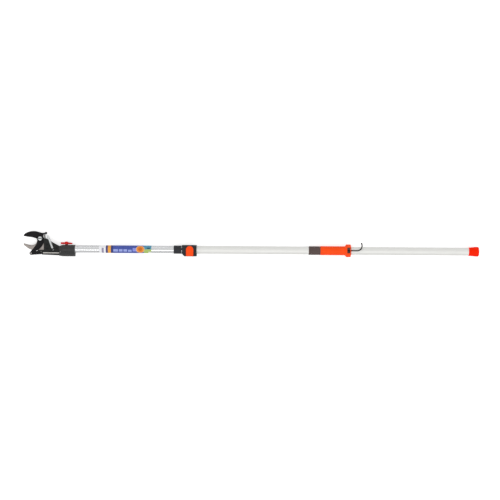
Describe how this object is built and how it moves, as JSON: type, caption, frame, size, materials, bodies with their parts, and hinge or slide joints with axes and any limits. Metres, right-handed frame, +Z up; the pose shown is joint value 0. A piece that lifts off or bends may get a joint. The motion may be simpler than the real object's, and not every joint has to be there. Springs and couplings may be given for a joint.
{
  "type": "telescoping pole pruner",
  "caption": "Two-stage telescoping pole pruner with a hooked bypass blade, a sliding grip that works it, a flip lever length lock and a hanging hook.",
  "frame": {"origin": "on the surface that the tool lies on, under the middle of its bounding box, with the pole collapsed and the jaws open", "axes": "+X along the pole from the jaws to the end cap, +Y across the pole towards the side where the blade stands out, +Z up from the surface, square to the blades"},
  "size_m": [1.802, 0.0992, 0.052],
  "materials": {
    "blade_black": "black non-stick coating, satin",
    "jaw_steel": "ground plate, dull",
    "bright_steel": "zinc plated, semi-bright",
    "dark_steel": "blackened",
    "head_dark": "dark grey powder coat",
    "collar_dark": "glass-filled nylon, fine grain",
    "knob_red": "moulded, semi-gloss",
    "front_aluminium": "polished",
    "outer_aluminium": "matte anodised",
    "label_film": "printed film, plain colour fields",
    "lock_dark": "moulded, fine grain",
    "orange_plastic": "moulded, satin",
    "sleeve_dark": "moulded, satin",
    "hook_wire": "dark coated wire"
  },
  "bodies": {
    "pole": {"outer_tube": "outer_aluminium", "lock_body": "lock_dark", "lever_pin": "bright_steel", "clamp_shoe": "lock_dark", "lock_screws": "dark_steel", "end_cap": "orange_plastic"},
    "head": {"front_tube": "front_aluminium", "label_film": "label_film", "tube_guide": "lock_dark", "base_collar": "collar_dark", "head_body": "head_dark", "fixed_jaw": "jaw_steel", "pivot_bolt": "bright_steel", "pivot_washer": "bright_steel", "pivot_nut": "bright_steel", "cross_bolts": "dark_steel", "cross_nuts": "dark_steel", "jaw_spacers": "bright_steel", "spring_post": "dark_steel"},
    "grip": {"grip_carrier": "sleeve_dark", "grip_cover": "orange_plastic", "cross_pin": "bright_steel", "hanging_hook": "hook_wire", "draw_tube": "outer_aluminium", "draw_clutch": "lock_dark"},
    "blade": {"moving_blade": "blade_black", "crank_pin": "bright_steel", "spring_peg": "dark_steel", "return_spring": "bright_steel"},
    "link": {"drive_link": "blade_black"},
    "rod": {"pull_rod": "bright_steel", "rod_pin": "bright_steel", "crosshead": "dark_steel", "draw_rod": "front_aluminium"},
    "lever": {"lock_lever": "orange_plastic"},
    "wing": {"wing_knob": "knob_red", "wing_stud": "bright_steel"}
  },
  "joints": [
    {"name": "pole_extension", "type": "slide", "parent": "pole", "child": "head", "axis": [-1, 0, 0], "range_m": [0, 0.5]},
    {"name": "grip_slide", "type": "slide", "parent": "pole", "child": "grip", "axis": [1, 0, 0], "range_m": [0, 0.0297]},
    {"name": "blade_swing", "type": "hinge", "parent": "head", "child": "blade", "pos_m": [-0.83565, 0.01988, 0.0255], "axis": [0, 0, 1], "range_deg": [0, 28.2], "stiffness_Nm_per_rad": 0.66, "springref_deg": -33.23, "deforming": ["return_spring"]},
    {"name": "link_swing", "type": "hinge", "parent": "blade", "child": "link", "pos_m": [-0.87045, -0.03882, 0.0255], "axis": [0, 0, 1], "range_deg": [-14.4, 0]},
    {"name": "rod_pull", "type": "slide", "parent": "head", "child": "rod", "axis": [1, 0, 0], "range_m": [0, 0.0298]},
    {"name": "lock_lever_flip", "type": "hinge", "parent": "pole", "child": "lever", "pos_m": [-0.24185, -0.04252, 0.0484], "axis": [1, 0, 0], "range_deg": [0, 100]},
    {"name": "wing_bolt_turn", "type": "hinge", "parent": "head", "child": "wing", "pos_m": [-0.73065, -0.00012, 0.0255], "axis": [0, 1, 0], "range_deg": [0, 360]}
  ],
  "couplings": [
    {"joint": "blade_swing", "follows": "grip_slide", "rad_per_m": 16.445},
    {"joint": "link_swing", "follows": "grip_slide", "rad_per_m": -8.263},
    {"joint": "rod_pull", "follows": "grip_slide", "ratio": 1}
  ]
}
